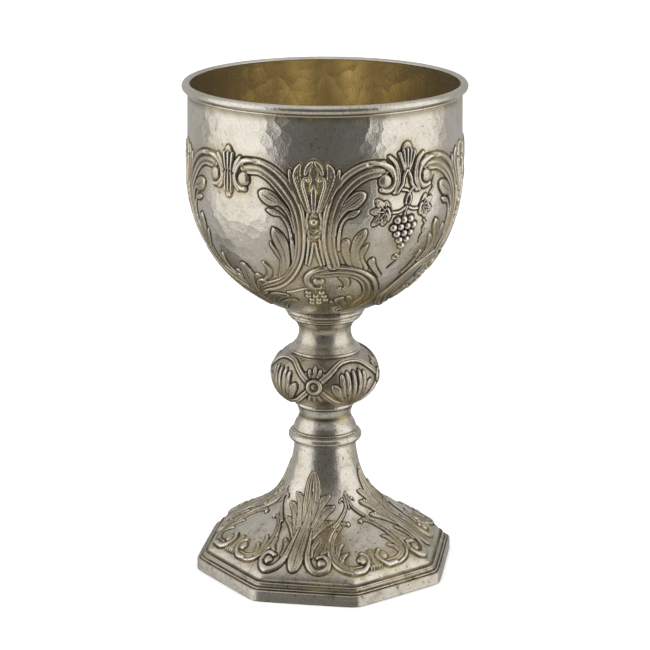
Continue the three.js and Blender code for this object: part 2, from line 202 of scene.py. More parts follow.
class Sheet:
    """Heights in millimetres over a rectangle of the drawing."""

    groove_depth = 0.26
    groove_reach = 0.4
    softening = 0.1
    # Reach of the blur that finds the hollows, and the raised edges that get a painted highlight
    edge_and_hollow_reach = 0.65
    worked_reach = 2.5
    full_cavity = 0.3
    full_edge = 0.28
    full_worked = 0.2
    blur_margin = 40

    def __init__(self, x_range, v_range):
        self.x0, self.v0 = x_range[0], v_range[0]
        self.xs = np.arange(x_range[0], x_range[1] + SHEET_PITCH, SHEET_PITCH)
        self.vs = np.arange(v_range[0], v_range[1] + SHEET_PITCH, SHEET_PITCH)
        self.height = np.zeros((len(self.vs), len(self.xs)))

    def window(self, low, high):
        """The slice of the sheet between two corners, with its coordinates, or None where they miss it."""
        i0, i1 = np.searchsorted(self.vs, (low[1], high[1]))
        j0, j1 = np.searchsorted(self.xs, (low[0], high[0]))
        if i1 - i0 < 2 or j1 - j0 < 2:
            return None
        where = (slice(i0, i1), slice(j0, j1))
        return where, *np.meshgrid(self.xs[j0:j1], self.vs[i0:i1])

    def press(self, where, inside, gap, raised):
        """Adds a raised shape, with a chased groove round it. Gap is the distance outside its border."""
        ground = self.height[where]
        sunk = ground - self.groove_depth * np.exp(-((gap / self.groove_reach) ** 2))
        self.height[where] = np.where(inside, np.maximum(raised, 0.4 * ground + 0.45 * raised), sunk)

    def along(self, path, half, height, section):
        """A stroke along finished points, with a half width at each."""
        reach = half.max() + 3 * self.groove_reach
        window = self.window(path.min(0) - reach, path.max(0) + reach)
        if window is None:
            return
        where, x, v = window
        nearest = np.full(x.shape, 1e9)
        side = np.zeros(x.shape)
        width = np.ones(x.shape)
        for i in range(len(path) - 1):
            d = path[i + 1] - path[i]
            length = max(np.hypot(*d), 1e-9)
            t = np.clip(((x - path[i, 0]) * d[0] + (v - path[i, 1]) * d[1]) / length**2, 0, 1)
            dx = x - path[i, 0] - t * d[0]
            dv = v - path[i, 1] - t * d[1]
            local = np.maximum(half[i] + t * (half[i + 1] - half[i]), 0.05)
            off = np.hypot(dx, dv)
            closer = off - local < nearest
            nearest = np.where(closer, off - local, nearest)
            side = np.where(closer, np.sign(d[0] * dv - d[1] * dx) * off, side)
            width = np.where(closer, local, width)
        u = np.clip(side / width, -1, 1)
        taper = np.minimum(1, width / (0.5 * half.max())) ** 0.6
        self.press(where, nearest < 0, np.maximum(nearest, 0), height * section(u) * taper)

    def stroke(self, points, half, height, section=bead):
        path = spline(points)
        self.along(path, three_widths(half, len(path)), height, section)

    def leaf(self, points, half, height, base=0.6, blunt=5):
        """A lobe that widens from its base and closes to a point, blunter with a higher number."""
        path = spline(points)
        t = np.linspace(0, 1, len(path))
        widths = half * (base + (1 - base) * t**0.8) * (1 - t**blunt) ** 0.7
        self.along(path, widths, height, blade)

    def band(self, outer, inner, height, section):
        """A stroke between its two borders."""
        a, b = (resample(spline(border), 90) for border in (outer, inner))
        middle = (a + b) / 2
        step = np.gradient(middle, axis=0)
        left = step[:, 0] * (a - middle)[:, 1] - step[:, 1] * (a - middle)[:, 0]
        flip = 1 if np.median(left) < 0 else -1
        self.along(middle, np.linalg.norm(a - b, axis=1) / 2, height, lambda u: section(flip * u))

    def dome(self, centre, radius, height, flat=1.0):
        """A round boss or berry. Flat widens it across."""
        c = np.asarray(centre, float)
        reach = radius * max(flat, 1) + 3 * self.groove_reach
        window = self.window(c - reach, c + reach)
        if window is None:
            return
        where, x, v = window
        off = np.hypot((x - c[0]) / flat, v - c[1])
        raised = height * np.sqrt(np.clip(1 - (off / radius) ** 2, 0, 1))
        self.press(where, off < radius, np.maximum(off - radius, 0), raised)

    def blurred(self, reach):
        """The heights, smoothed over a distance."""
        margin = self.blur_margin
        padded = np.pad(self.height, margin, mode="edge")
        fy = np.fft.fftfreq(padded.shape[0], SHEET_PITCH)[:, None]
        fx = np.fft.rfftfreq(padded.shape[1], SHEET_PITCH)[None, :]
        low_pass = np.exp(-2 * (np.pi * reach) ** 2 * (fx**2 + fy**2))
        smooth = np.fft.irfft2(np.fft.rfft2(padded) * low_pass, padded.shape)
        return smooth[margin:-margin, margin:-margin]

    def finish(self):
        """Softens the drawing a little and works out where dirt gathers, and which raised edges get a painted
        highlight.
        """
        near = self.blurred(self.softening)
        wide = self.blurred(self.edge_and_hollow_reach)
        spread = self.blurred(self.worked_reach)
        self.layers = {
            "height": near,
            "cavity": np.clip((wide - near) / self.full_cavity, 0, 1),
            # Raised edges, which the colour brightens as a painted highlight
            "edge": np.clip((near - wide) / self.full_edge, 0, 1),
            "worked": np.clip(spread / self.full_worked, 0, 1),
            "gilded": np.zeros_like(near),
        }
        return self

    def gild(self, middle, reach):
        """Leaves gilding about an upright line, most on the line itself."""
        self.layers["gilded"] += np.exp(-(((self.xs - middle) / reach) ** 2))[None, :]

    def darken_band(self, v, reach, amount):
        """Darkens the metal about a level, by adding to its cavity value."""
        self.layers["cavity"] += amount * np.exp(-(((self.vs - v) / reach) ** 2))[:, None]

    def sample(self, layer, x, v):
        grid = self.layers[layer]
        fx = np.clip((x - self.x0) / SHEET_PITCH, 0, len(self.xs) - 1.001)
        fv = np.clip((v - self.v0) / SHEET_PITCH, 0, len(self.vs) - 1.001)
        j, i = fx.astype(int), fv.astype(int)
        a, b = fx - j, fv - i
        low = grid[i, j] * (1 - a) + grid[i, j + 1] * a
        high = grid[i + 1, j] * (1 - a) + grid[i + 1, j + 1] * a
        return low * (1 - b) + high * b


LEAF_HEIGHT = 0.6
BIG_LEAF_HEIGHT = 0.8
SCROLL_HEIGHT = 0.8
VOLUTE_HEIGHT = 1.0
VOLUTE_KNOB_HEIGHT = 1.15
VOLUTE_HALF = (0.2, 1.5, 1.2)


class Motif:
    """Draws on a sheet about a middle line, with twins on both sides where asked. Facing -1 turns it over."""

    def __init__(self, sheet, middle, facing=1):
        self.sheet = sheet
        self.middle = middle
        self.facing = facing

    def sides(self, points, twin):
        ways = (self.facing, -self.facing) if twin else (self.facing,)
        return [[(self.middle + way * x, v) for x, v in points] for way in ways]

    def stroke(self, points, half, height, section=bead, twin=False):
        for moved in self.sides(points, twin):
            self.sheet.stroke(moved, half, height, section)

    def leaf(self, points, half, height=LEAF_HEIGHT, twin=False, base=0.6, blunt=5):
        for moved in self.sides(points, twin):
            self.sheet.leaf(moved, half, height, base, blunt)

    def scroll(self, outer, inner, height, twin=False, section=strap):
        for border, far_border in zip(self.sides(outer, twin), self.sides(inner, twin)):
            self.sheet.band(border, far_border, height, section)

    def frond(self, upper, lower, height=LEAF_HEIGHT):
        """A leaf between its two borders, which meet at its tip."""
        self.scroll(upper, lower, height, section=blade)

    def dome(self, centre, radius, height, twin=False, flat=1.0):
        for moved in self.sides([centre], twin):
            self.sheet.dome(moved[0], radius, height, flat)

    def bunch(self, rows, radius, height):
        """Berries in rows, each row as its v and the berries' x."""
        for v, row in rows:
            for x in row:
                self.dome((x, v), radius, height)

    def ring(self, centre, radius, half, height):
        turns = np.linspace(0, 2 * math.pi, 17)
        x, v = centre
        self.stroke([(x + radius * math.sin(a), v + radius * math.cos(a)) for a in turns], half, height)


# Bowl ornament

def draw_right_leaves(m):
    """Two leaves with three lobes each, that spring from the right-hand scroll, and a small curled leaf."""
    m.frond(
        [(8.6, -21), (8.6, -15), (9.8, -10.2), (11.6, -7), (14, -4.9), (16.8, -4.6)],
        [(10.2, -21), (10.1, -13.4), (10.9, -9.8), (12.6, -7.6), (15, -7.2), (16.8, -5.2)],
    )
    m.frond(
        [(6.4, -14), (7.2, -8), (8.8, -4.2), (11, -1.4), (13.5, 1.2), (16, 2.3), (19.2, 1.7)],
        [(8.4, -15), (8.7, -11), (9.8, -8), (11.4, -5.8), (13.2, -4.4), (16, -3.8), (18, -1.6), (19.2, 1.4)],
        BIG_LEAF_HEIGHT,
    )
    m.frond([(6, -6), (7.4, -2), (10.5, 1.3)], [(7.4, -6.4), (9, -2.8), (10.9, 0.9)])
    m.frond(
        [(19, -32), (17.2, -27), (17.2, -23.4), (18.4, -20.6), (20.6, -19)],
        [(23, -32), (20.4, -28), (19.8, -25), (20.8, -22), (21.3, -19.4)],
    )
    m.frond(
        [(14.4, -31), (12, -26), (10.6, -22), (10.4, -18.6), (12, -16.4)],
        [(17.4, -31), (14.8, -25), (13.8, -21.4), (14, -18.4), (12.6, -16.4)],
    )
    m.frond(
        [(16.4, -31), (14.8, -25), (14.3, -21), (15, -17), (16.8, -14.2), (19.7, -12.5)],
        [(20.4, -32), (17.8, -26), (17.6, -22), (18.9, -18.6), (20.1, -15.4), (19.8, -12.5)],
        BIG_LEAF_HEIGHT,
    )
    m.frond(
        [(28.6, -38), (25.2, -33.6), (23, -30.2), (22.2, -28.2), (23.4, -26.4)],
        [(30.4, -37), (27.4, -32.8), (25.8, -29.6), (25.3, -27.6), (24, -26.3)],
    )


def draw_left_leaves(m):
    """Two such leaves on the left-hand scroll, a tendril, and a leaf that rises from its sweep below."""
    m.frond(
        [(-8.2, -20), (-8.8, -14), (-9.6, -10.6), (-11.2, -7.8), (-14, -5.4), (-17, -4.5), (-18.4, -5)],
        [(-9.9, -20), (-9.9, -15), (-10.3, -12), (-11.3, -9.5), (-13, -7.3), (-16, -7.1), (-18.4, -5.5)],
    )
    m.frond(
        [(-6.4, -13), (-7.4, -8.8), (-9, -5.4), (-12, -1.8), (-15, 1.3), (-18, 2.5), (-21.6, 1.7)],
        [(-8.2, -14), (-9.2, -9), (-11, -5.4), (-14, -2.9), (-17.5, -3.3), (-20, -1.9), (-21.7, 1.4)],
        BIG_LEAF_HEIGHT,
    )
    m.frond([(-6.6, -6), (-8.4, -2.2), (-12.1, 1.9)], [(-8.4, -6), (-9.9, -2.8), (-12.8, 1.2)])
    m.frond(
        [(-18, -38), (-16, -32), (-15.2, -27.5), (-17, -23.6), (-18.5, -20), (-18.3, -18.4)],
        [(-15, -37), (-13.6, -31), (-13, -26.6), (-14.6, -22.6), (-16.6, -20.2), (-18.1, -18.4)],
    )
    m.frond(
        [(-9.9, -31), (-10, -24), (-9.9, -19), (-9.1, -16)],
        [(-7.2, -30), (-7.4, -25), (-7.8, -20), (-8.7, -16)],
    )
    m.frond(
        [(-16.6, -37), (-14.8, -31), (-14.2, -27), (-15, -23), (-16.4, -19.6), (-17.2, -16), (-16.6, -12.2)],
        [(-12.4, -36), (-11.4, -30), (-10.6, -25), (-10.4, -20.6), (-11.2, -16.8), (-13.2, -14),
         (-16.3, -12)],
        BIG_LEAF_HEIGHT,
    )
    tendril = [(-26.4, -40.6), (-23, -37.4), (-22, -34.6), (-22.2, -32), (-23.4, -29.8)]
    m.stroke(tendril, (0.6, 1.5, 0.9), 0.65)
    m.frond(
        [(-34.6, -50), (-32.8, -42), (-30.4, -37.4), (-27.4, -38)],
        [(-32.6, -50), (-31.2, -43.4), (-29.6, -40.6), (-27.4, -38.6)],
    )
    m.frond(
        [(-42, -52), (-41, -43), (-39.6, -37), (-37, -33.4), (-35.6, -31.8)],
        [(-35, -54), (-34.4, -46), (-32.8, -40), (-32.4, -36.6), (-33.4, -34), (-35.3, -31.7)],
        BIG_LEAF_HEIGHT,
    )
    m.stroke([(-34.6, -54), (-33.6, -47), (-31, -42.8), (-28, -41.4), (-25, -42.4)], (0.9, 1, 0.6), 0.6)


BERRY_RADIUS = 1.8
BERRY_ROWS = (
    (-48.4, (-4.6, 2.4)),
    (-51.8, (-4.8, -0.9, 3.6)),
    (-55.6, (-3.2, 0.8, 4.4)),
    (-59.6, (-3.8, 0.4)),
)


def draw_lower_scroll(m):
    """The scroll under the strut, with berries on a stalk, a tendril and a curled leaf inside it."""
    m.stroke([(-16, -49.4), (-12, -48), (-8, -46), (-4, -44.6), (-1, -45), (-0.5, -48)], (0.8, 0.7, 0.5), 0.5)
    m.frond(
        [(10, -36), (12.4, -39.6), (13.4, -43), (12.4, -45.6)],
        [(13.6, -36.4), (15.6, -40.4), (15.4, -44), (12.8, -46)],
    )
    m.dome((11.2, -44.4), 1, 0.6)
    m.leaf([(23, -68), (15, -63.6), (12.2, -58.4), (13.4, -53)], 4.2, 0.75, base=0.8)
    m.leaf([(19.6, -66), (19, -58.6), (16.6, -52)], 2.4)
    m.leaf([(14, -66), (9, -62.6), (7.6, -57)], 2)
    m.bunch(BERRY_ROWS, BERRY_RADIUS, 0.9)
    m.scroll(
        [(0, -31), (3, -29.6), (8, -29), (13, -29.4), (18, -31), (22, -33.4), (26, -36.6), (29, -40.5),
         (32, -46), (34.4, -52), (35, -57), (33.6, -63), (29, -70), (22, -76)],
        [(3.4, -36), (6, -36), (10, -35.6), (15, -36.6), (19, -38.6), (22, -42.4), (24, -47.6), (25, -53),
         (24.6, -58), (22, -63), (17, -69), (12, -73)],
        SCROLL_HEIGHT,
    )
    roll = [(6, -30.6), (1, -31.6), (-2.4, -34), (-4.2, -37.6), (-3.8, -41.4), (-1.2, -43.6), (1.6, -43.4)]
    m.stroke(roll, (0.2, 1.6, 1.3), VOLUTE_HEIGHT)
    m.dome((1.2, -39.4), 2.8, 1.1)


def draw_right_scroll(m):
    """The scroll on the right of a strut, which rolls over at its top."""
    m.scroll(
        [(4.8, -29), (3.5, -23), (2.8, -18), (2.8, -13), (3.4, -8), (4.6, -3), (6, 1.5), (8, 5.5), (11, 9),
         (15, 12), (20, 13.8), (26, 13.8)],
        [(10.4, -29), (8.6, -23), (7.9, -18), (7.8, -13), (8.2, -8), (9.6, -3), (12.6, 1.6), (16, 4.8),
         (20, 6.8), (25, 7.4)],
        SCROLL_HEIGHT,
    )
    roll = [(20, 12.6), (25, 12.4), (29, 10.2), (30.8, 7), (30.4, 4), (28, 2.3), (25.4, 2.6)]
    m.stroke(roll, VOLUTE_HALF, VOLUTE_HEIGHT)
    m.dome((26.6, 5.6), 2.7, VOLUTE_KNOB_HEIGHT)


def draw_left_scroll(m):
    """The scroll on the left of a strut, which rolls over at its top and sweeps out below."""
    m.leaf([(-18, -53), (-25, -54), (-31, -59), (-35, -68)], 3.4)
    m.leaf([(-14, -58), (-20, -61), (-25, -67), (-28, -76)], 3.2)
    m.scroll(
        [(-34.6, -54.6), (-31, -51.6), (-26, -49.2), (-21, -47.6), (-16.5, -44.6), (-12, -40), (-8.6, -35),
         (-6.2, -30), (-4.6, -25), (-3.7, -20), (-3.4, -15), (-3.5, -10), (-4, -5.5), (-5, -1.5), (-7, 3),
         (-10, 7.2), (-14, 10.8), (-18, 13), (-22, 14), (-27, 14)],
        [(-35, -52.6), (-33, -48.6), (-29, -44.6), (-24, -42), (-19, -39.6), (-14.4, -35.6), (-11, -31),
         (-8.6, -26), (-7.4, -20), (-7, -14), (-7.4, -9), (-8.6, -4.6), (-11.6, -0.4), (-15, 3.6),
         (-18, 6.1), (-22, 7.7), (-27, 7.4)],
        SCROLL_HEIGHT,
    )
    roll = [(-22, 12.9), (-27, 12.8), (-31, 11.2), (-33, 8), (-33, 4.6), (-31, 2.4), (-28, 2)]
    m.stroke(roll, VOLUTE_HALF, VOLUTE_HEIGHT)
    m.dome((-28.4, 5.6), 2.8, VOLUTE_KNOB_HEIGHT)


def draw_palmette(m):
    """A flower on top of the strut, a buckle under it and two legs down to the lower scroll."""
    m.leaf([(5, -1), (8, 5), (9.4, 11.2)], 1.3, twin=True)
    m.leaf([(0, 1), (0, 14.4)], 2.4)
    m.leaf([(2, -5), (4.6, 3), (6.4, 9), (5, 13.2)], 2.3, 0.75, twin=True, base=0.4)
    m.leaf([(3.2, 9.2), (2.4, 11.6), (0.4, 14.2)], 1.1, 0.7, twin=True)
    m.stroke([(1.3, -5), (2.8, 0.6), (4, 4.8), (3.6, 7.4), (2.2, 7.9)], (0.5, 0.75, 0.7), 0.85, twin=True)
    m.dome((2.2, 7), 1, 0.9, twin=True)
    m.leaf([(0, -6), (0, 4.8)], 1.5, 0.9, base=0.4)
    m.stroke([(2.2, -14), (2.4, -20), (3.8, -28.4)], (0.5, 0.7, 0.6), 0.75, twin=True)
    m.stroke([(0.5, -18), (1.2, -23), (2.6, -29)], (0.5, 0.7, 0.6), 0.7, twin=True)
    m.stroke([(2.3, -5.6), (2.7, -10), (1.9, -15.4)], (0.5, 0.6, 0.5), 0.7, twin=True)
    m.dome((0, -10.4), 5.2, 0.5, flat=0.42)
    m.stroke([(-1.9, -14.6), (0, -15.7), (1.9, -14.6)], 0.55, 0.8)
    m.stroke([(-1.9, -12.3), (0, -13.4), (1.9, -12.3)], 0.45, 0.7)
    m.dome((0, -9.2), 2.1, 0.7)
    m.dome((0, -9.2), 1.45, 1.15)


def draw_closing_leaf(m):
    """A hanging leaf with two side lobes, under a strut that has no lower scroll."""
    m.leaf([(2, -36), (7, -46), (14, -56)], 3.4, twin=True)
    m.leaf([(0, -33), (0, -52), (0, -76)], 5.4, 0.7)


def draw_fan(sheet, middle):
    """A small fluted palmette over a pendant, between two volutes."""
    m = Motif(sheet, middle)
    m.stroke([(2.6, 7.8), (3.4, 10.6), (5.8, 13.6)], (0.8, 1, 0.8), 0.7, twin=True)
    m.stroke([(2.4, 6.4), (3, 3.6), (5, 1)], (0.7, 0.8, 0.6), 0.65, twin=True)
    m.leaf([(0, 12), (0, 17)], 2.2, 0.7, base=1)
    m.leaf([(0, 3), (0, -2)], 2, 0.65, base=1)
    for x in (1.6, 0):
        m.stroke([(0.7 * x, 8), (x, 11), (1.3 * x, 14.4)], (0.6, 0.85, 0.9), 0.85, twin=x > 0)
        m.stroke([(0.8 * x, 7.4), (x, 4), (0.9 * x, 0.4)], (0.6, 0.8, 0.7), 0.8, twin=x > 0)


def draw_shell(sheet, middle):
    """A fluted shell over an arch, between two volutes."""
    m = Motif(sheet, middle)
    m.stroke([(7.6, 14.8), (5.2, 12.4), (4, 8.6), (3.9, 5), (5.6, 1)], (0.7, 1, 0.8), 0.75, reeded, twin=True)
    m.leaf([(0, 13.4), (0, 19)], 2.6, 0.75, base=1)
    for x, v in ((3.2, 15.6), (1.6, 16.4), (0, 16.8)):
        m.stroke([(x * 0.3, 8.6), (x * 0.62, 12), (x, v)], (0.4, 0.62, 0.8), 0.95, twin=x > 0)
    m.stroke([(0.2, 9), (1.5, 6.6), (2.2, 3.6), (4.4, 0.8)], (0.6, 0.75, 0.6), 0.85, twin=True)


GRAPE_RADIUS = 1.6
GRAPE_ROWS = (
    (-10.3, (-3.5, -0.7, 2.3)),
    (-13.1, (-5, -1.9, 1.3, 4.1)),
    (-16, (-3.1, 0.1, 3)),
    (-18.9, (-1.6, 1.7)),
    (-21.6, (0,)),
)
LEFT_VINE_TIPS = ((-9, -2.2), (-12.8, -1), (-15, -5.6), (-14.2, -11.4), (-10, -11.6), (-7.6, -9.6))
RIGHT_VINE_TIPS = ((9.2, -1.4), (12.6, -3), (13, -8), (10, -10.8), (7, -9))


def draw_vine_leaf(m, heart, tips):
    """Lobes out of one heart, each with a raised vein."""
    for tip in tips:
        m.leaf([heart, tip], 2.2, base=0.85, blunt=2)
    for tip in tips:
        vein_end = tuple(a + 0.8 * (b - a) for a, b in zip(heart, tip))
        m.stroke([heart, vein_end], (0.3, 0.25, 0.15), 0.85)


def draw_grapes(sheet, middle):
    """A bunch of grapes on a vine with two leaves."""
    m = Motif(sheet, middle)
    m.stroke([(-2.2, 1.8), (0.6, 0.8), (1.7, -2), (0.6, -5)], 0.55, 0.6)
    m.stroke([(2.6, 1.8), (0.4, -0.6), (-0.5, -2.8), (0.2, -5)], 0.5, 0.6)
    m.stroke([(0.3, -5), (3.4, -6.4), (7.4, -6.4)], 0.5, 0.55)
    m.stroke([(0.2, -5), (-3.4, -6.8), (-8.4, -6.6)], 0.5, 0.55)
    m.stroke([(0.2, -5), (-0.5, -7), (-0.7, -10)], 0.5, 0.6)
    draw_vine_leaf(m, (-8.8, -6.2), LEFT_VINE_TIPS)
    draw_vine_leaf(m, (8, -6.2), RIGHT_VINE_TIPS)
    tendril = [(0.6, -23), (1.3, -25.4), (-0.2, -27.6), (-2, -28.2), (-2.4, -26.6), (-0.8, -26.2), (0, -29),
               (-3.4, -33)]
    m.stroke(tendril, 0.4, 0.4)
    m.stroke([(11.4, -1.6), (13.2, 0.4), (13, 2.4), (13.8, 4.4)], 0.4, 0.45)
    m.stroke([(9.4, -12), (10.6, -13.4), (9.8, -15.4), (10.4, -17.4), (9.4, -19.4), (10, -22)], 0.45, 0.45)
    m.bunch(GRAPE_ROWS, GRAPE_RADIUS, 1.3)


PANEL_WIDTH = math.radians(DRAWN_SPAN) * BOWL_RADIUS
PANEL_V = (-112, 34)
GILDED_REACH = 4.5
LIP_STAIN_REACH = 2.2
LIP_STAIN = 0.22
# The bowl is made darker towards its seat, about this level
SEAT_V = -62
SEAT_DARKENING_REACH = 18
SEAT_DARKENING = 0.13


def draw_panel_half(sheet, strut, inward, grapes, grapes_beyond):
    """What stands at one strut of a panel. Inward is 1 at its left strut and -1 at its right one."""
    if grapes:
        m = Motif(sheet, strut, inward)
        draw_right_leaves(m)
        draw_lower_scroll(m)
        draw_right_scroll(m)
    else:
        m = Motif(sheet, strut, -inward)
        draw_left_leaves(m)
        (draw_lower_scroll if grapes_beyond else draw_closing_leaf)(m)
        draw_left_scroll(m)
    draw_palmette(m)


def bowl_sheet(grapes, grapes_before, grapes_after):
    """One panel, whose two halves face each other."""
    sheet = Sheet((-3, PANEL_WIDTH + 3), PANEL_V)
    draw_panel_half(sheet, 0, 1, grapes, grapes_before)
    draw_panel_half(sheet, PANEL_WIDTH, -1, grapes, grapes_after)
    (draw_shell if grapes else draw_fan)(sheet, PANEL_WIDTH / 2)
    if grapes:
        draw_grapes(sheet, PANEL_WIDTH / 2)
    sheet.finish()
    for strut in (0, PANEL_WIDTH):
        sheet.gild(strut, GILDED_REACH)
    sheet.darken_band(WALL_TOP_Z - BOWL_EQUATOR_Z, LIP_STAIN_REACH, LIP_STAIN)
    # Darker towards the seat of the bowl
    sheet.darken_band(SEAT_V, SEAT_DARKENING_REACH, SEAT_DARKENING)
    return sheet


# Knop ornament

KNOP_REFERENCE = KNOP_CORE_RADIUS + KNOP_SWELL
KNOP_PERIOD = 2 * math.pi * KNOP_REFERENCE / KNOP_REPEATS


def draw_knop_leaf(sheet, middle):
    """A spread of leaves between two bosses."""
    m = Motif(sheet, middle)
    m.leaf([(2, -8.6), (5.4, -4), (9.4, 0.9)], 2.4, 0.7, twin=True, base=0.9)
    m.leaf([(1.6, -9), (4.4, -1), (5.6, 5.6)], 1.8, 0.7, twin=True)
    m.leaf([(0.8, -9), (2.6, -1.4), (3, 6.8)], 1.5, 0.8, twin=True)
    m.leaf([(0, -9.4), (0, 6.8)], 1.4, 0.85)


def draw_knop_boss(sheet):
    """A ring with petals over and under it, where two ribbons cross."""
    half = KNOP_PERIOD / 2
    m = Motif(sheet, 0)
    m.leaf([(1, -2.6), (2.7, -6.6)], 1.1, 0.5, twin=True)
    m.leaf([(0, -2.6), (0, -7)], 1.1, 0.5)
    m.leaf([(2, 2.6), (3.4, 4.6), (4, 6)], 0.9, 0.55, twin=True)
    m.leaf([(0.7, 3), (2, 5.4), (2.5, 7.9)], 1.1, 0.55, twin=True)
    m.leaf([(0, 3), (0, 9.6)], 1.2, 0.6)
    m.stroke([(2.4, -1.6), (6, -5), (9, -7.4), (half, -10.8)], 1.2, 0.65, reeded, twin=True)
    m.stroke([(2.4, 2.2), (6, 5.4), (10, 9.4), (13, 11.2), (half, 11.8)], 1.3, 0.7, reeded, twin=True)
    m.dome((0, 0.2), 3.3, 0.4)
    m.ring((0, 0.2), 2.5, 0.8, 0.9)
    m.dome((0, 0.2), 1.4, 0.55)


def knop_sheet():
    half = KNOP_PERIOD / 2
    sheet = Sheet((-half - 2, half + 2), (-19, 22))
    for middle in (-half, half):
        draw_knop_leaf(sheet, middle)
    draw_knop_boss(sheet)
    return sheet.finish()


# Foot ornament

FOOT_PERIOD = math.pi / 2 * FOOT_REFERENCE


def draw_acanthus(sheet, middle):
    """A broad leaf with round lobes, on a stem between two volutes."""
    m = Motif(sheet, middle)
    m.leaf([(2, 19), (6, 26), (10.6, 30.6), (16.8, 33.2)], 3.2, 0.75, twin=True, base=0.8)
    m.leaf([(2.4, 24), (7, 34), (12, 41), (19.8, 45.2)], 4.2, 0.75, twin=True, base=0.8)
    m.leaf([(2.4, 28), (6, 42), (10.4, 50), (17, 55)], 4.5, 0.75, twin=True, base=0.8)
    m.leaf([(0, 32), (0, 50), (-0.4, 64), (-0.8, 79.4)], 13, 0.75, base=0.25, blunt=2.6)
    stem = [(0.4, 3.2), (2, 5), (3.2, 9), (3.7, 16), (3.3, 24), (2.3, 34), (1.4, 45), (0.3, 57)]
    m.frond([(-x, v) for x, v in stem], stem, BIG_LEAF_HEIGHT)
    m.leaf([(10.6, 11.6), (12.6, 14.6), (13.4, 19.4)], 1.5, 0.5, twin=True)
    m.leaf([(5.8, 10), (6, 15), (8.8, 20)], 1.5, 0.5, twin=True)
    roll = [(3.8, 27), (4.2, 17), (4.4, 10), (6, 5.4), (9, 3.5), (12.2, 4.6), (13.3, 7.6), (11.6, 10.2),
            (9, 9.6)]
    m.stroke(roll, (0.4, 1.2, 0.9), 0.8, twin=True)
    m.dome((10.5, 7.2), 1.7, 0.8, twin=True)


def draw_cartouche(sheet, middle):
    """Two scrolls that face each other, joined at the foot's edge and crossed above."""
    m = Motif(sheet, middle)
    m.leaf([(15, 7), (14.4, 12), (13.2, 16), (10.8, 18)], 1.5, 0.5, twin=True)
    m.leaf([(14, 6), (12.4, 10.4), (10, 12.2)], 1.2, 0.5, twin=True)
    for x in (2.4, 1.2, 0):
        m.leaf([(x * 0.3, 11.6), (x, 3)], 0.9, 0.5, twin=x > 0)
    m.scroll(
        [(4.6, 31.8), (8, 32.4), (11.6, 30.6), (15, 26.6), (17.6, 21), (18.6, 14), (17.6, 8.4), (14.6, 4.6),
         (10, 2.8), (5.4, 3.2)],
        [(4.8, 29.2), (8, 29.4), (10.4, 27.8), (12.8, 24.4), (14.6, 20), (15.4, 14), (14.6, 9.8), (12.4, 7.2),
         (9.6, 5.9), (6.4, 5.8)],
        0.75,
        twin=True,
    )
    m.dome((4.8, 30.4), 1.5, 0.65, twin=True)
    m.stroke([(9, 3.8), (5.4, 3.8), (3, 5.8), (2.6, 8.6), (4.2, 10.6)], (0.9, 1.1, 1), 0.8, twin=True)
    m.dome((5, 8), 2, 0.85, twin=True)
    crest = [(13.6, 29.4), (9, 34.6), (4.4, 40.2), (2, 45), (2.8, 49), (5.2, 50.2), (7, 48.2)]
    m.stroke(crest, (1.3, 1.2, 0.8), 0.7, reeded, twin=True)
    m.leaf([(0.8, 45), (2.2, 53.4)], 1.1, 0.45, twin=True)
    m.leaf([(0, 42), (0, 57.6)], 1.3, 0.5)


def foot_sheet():
    half = FOOT_PERIOD / 2
    sheet = Sheet((-half - 3, half + 3), (-4, 104))
    for middle in (-half, half):
        draw_cartouche(sheet, middle)
    draw_acanthus(sheet, 0)
    return sheet.finish()


# Surfaces

class Turned:
    """A surface round the axis from its profile, with v measured so that the drawing keeps angles."""

    def __init__(self, profile, reference, zero_z, octagonal=False):
        profile = resample(profile, 600)
        self.reference = reference
        self.octagonal = octagonal
        self.r, self.z = profile.T
        step = np.hypot(np.diff(self.r), np.diff(self.z))
        middle = (self.r[1:] + self.r[:-1]) / 2
        self.v = np.r_[0, np.cumsum(step * reference / middle)]
        self.v -= np.interp(zero_z, self.z, self.v)
        dr, dz = np.gradient(self.r), np.gradient(self.z)
        self.nr, self.nz = dz / np.hypot(dr, dz), -dr / np.hypot(dr, dz)

    def rows(self, pitch):
        """Values of v about pitch apart on the metal."""
        length = np.r_[0, np.cumsum(np.hypot(np.diff(self.r), np.diff(self.z)))]
        return np.interp(np.linspace(0, length[-1], int(length[-1] / pitch) + 1), length, self.v)

    def point(self, angle, v, lift):
        r, z, nr, nz = (np.interp(v, self.v, a) for a in (self.r, self.z, self.nr, self.nz))
        if self.octagonal:
            r = r * octagon_spread(angle, z)
        r = r + lift * nr
        return np.stack([r * np.cos(angle), r * np.sin(angle), z + lift * nz], -1)


def octagon_spread(angle, z):
    """How far the section stands out past its flats: an octagon low down, a circle at the neck.

    Its corners are crisp at the edge and rounder further up.
    """
    side = 2 * math.pi / FOOT_SIDES
    from_flat = (angle + side / 2) % side - side / 2
    softness = CORNER_SOFTNESS * smoothstep(z, CRISP_BELOW_Z, OCTAGON_BELOW_Z)
    from_corner = np.hypot(side / 2 - np.abs(from_flat), softness)
    from_flat = np.maximum(side / 2 - from_corner, 0)
    return 1 + (1 / np.cos(from_flat) - 1) * (1 - smoothstep(z, OCTAGON_BELOW_Z, ROUND_ABOVE_Z))


def flat_facing(angles, middle):
    """Which way each point of an octagon's side faces, and how far it stands out.

    Its corners are worn round.
    """
    half = math.pi / FOOT_SIDES
    from_flat = angles - middle
    near = half - np.abs(from_flat)
    from_corner = np.hypot(near, EDGE_WEAR)
    facing = middle + np.sign(from_flat) * half * (1 - near / from_corner)
    return facing, 1 / np.cos(np.clip(half - from_corner, 0, half))


class Patch:
    """A grid of points, its normals, and named values at each point."""

    def __init__(self, points, normals, values):
        self.points, self.normals, self.values = points, normals, values


def unit(vectors):
    return vectors / np.maximum(np.linalg.norm(vectors, axis=-1, keepdims=True), 1e-12)


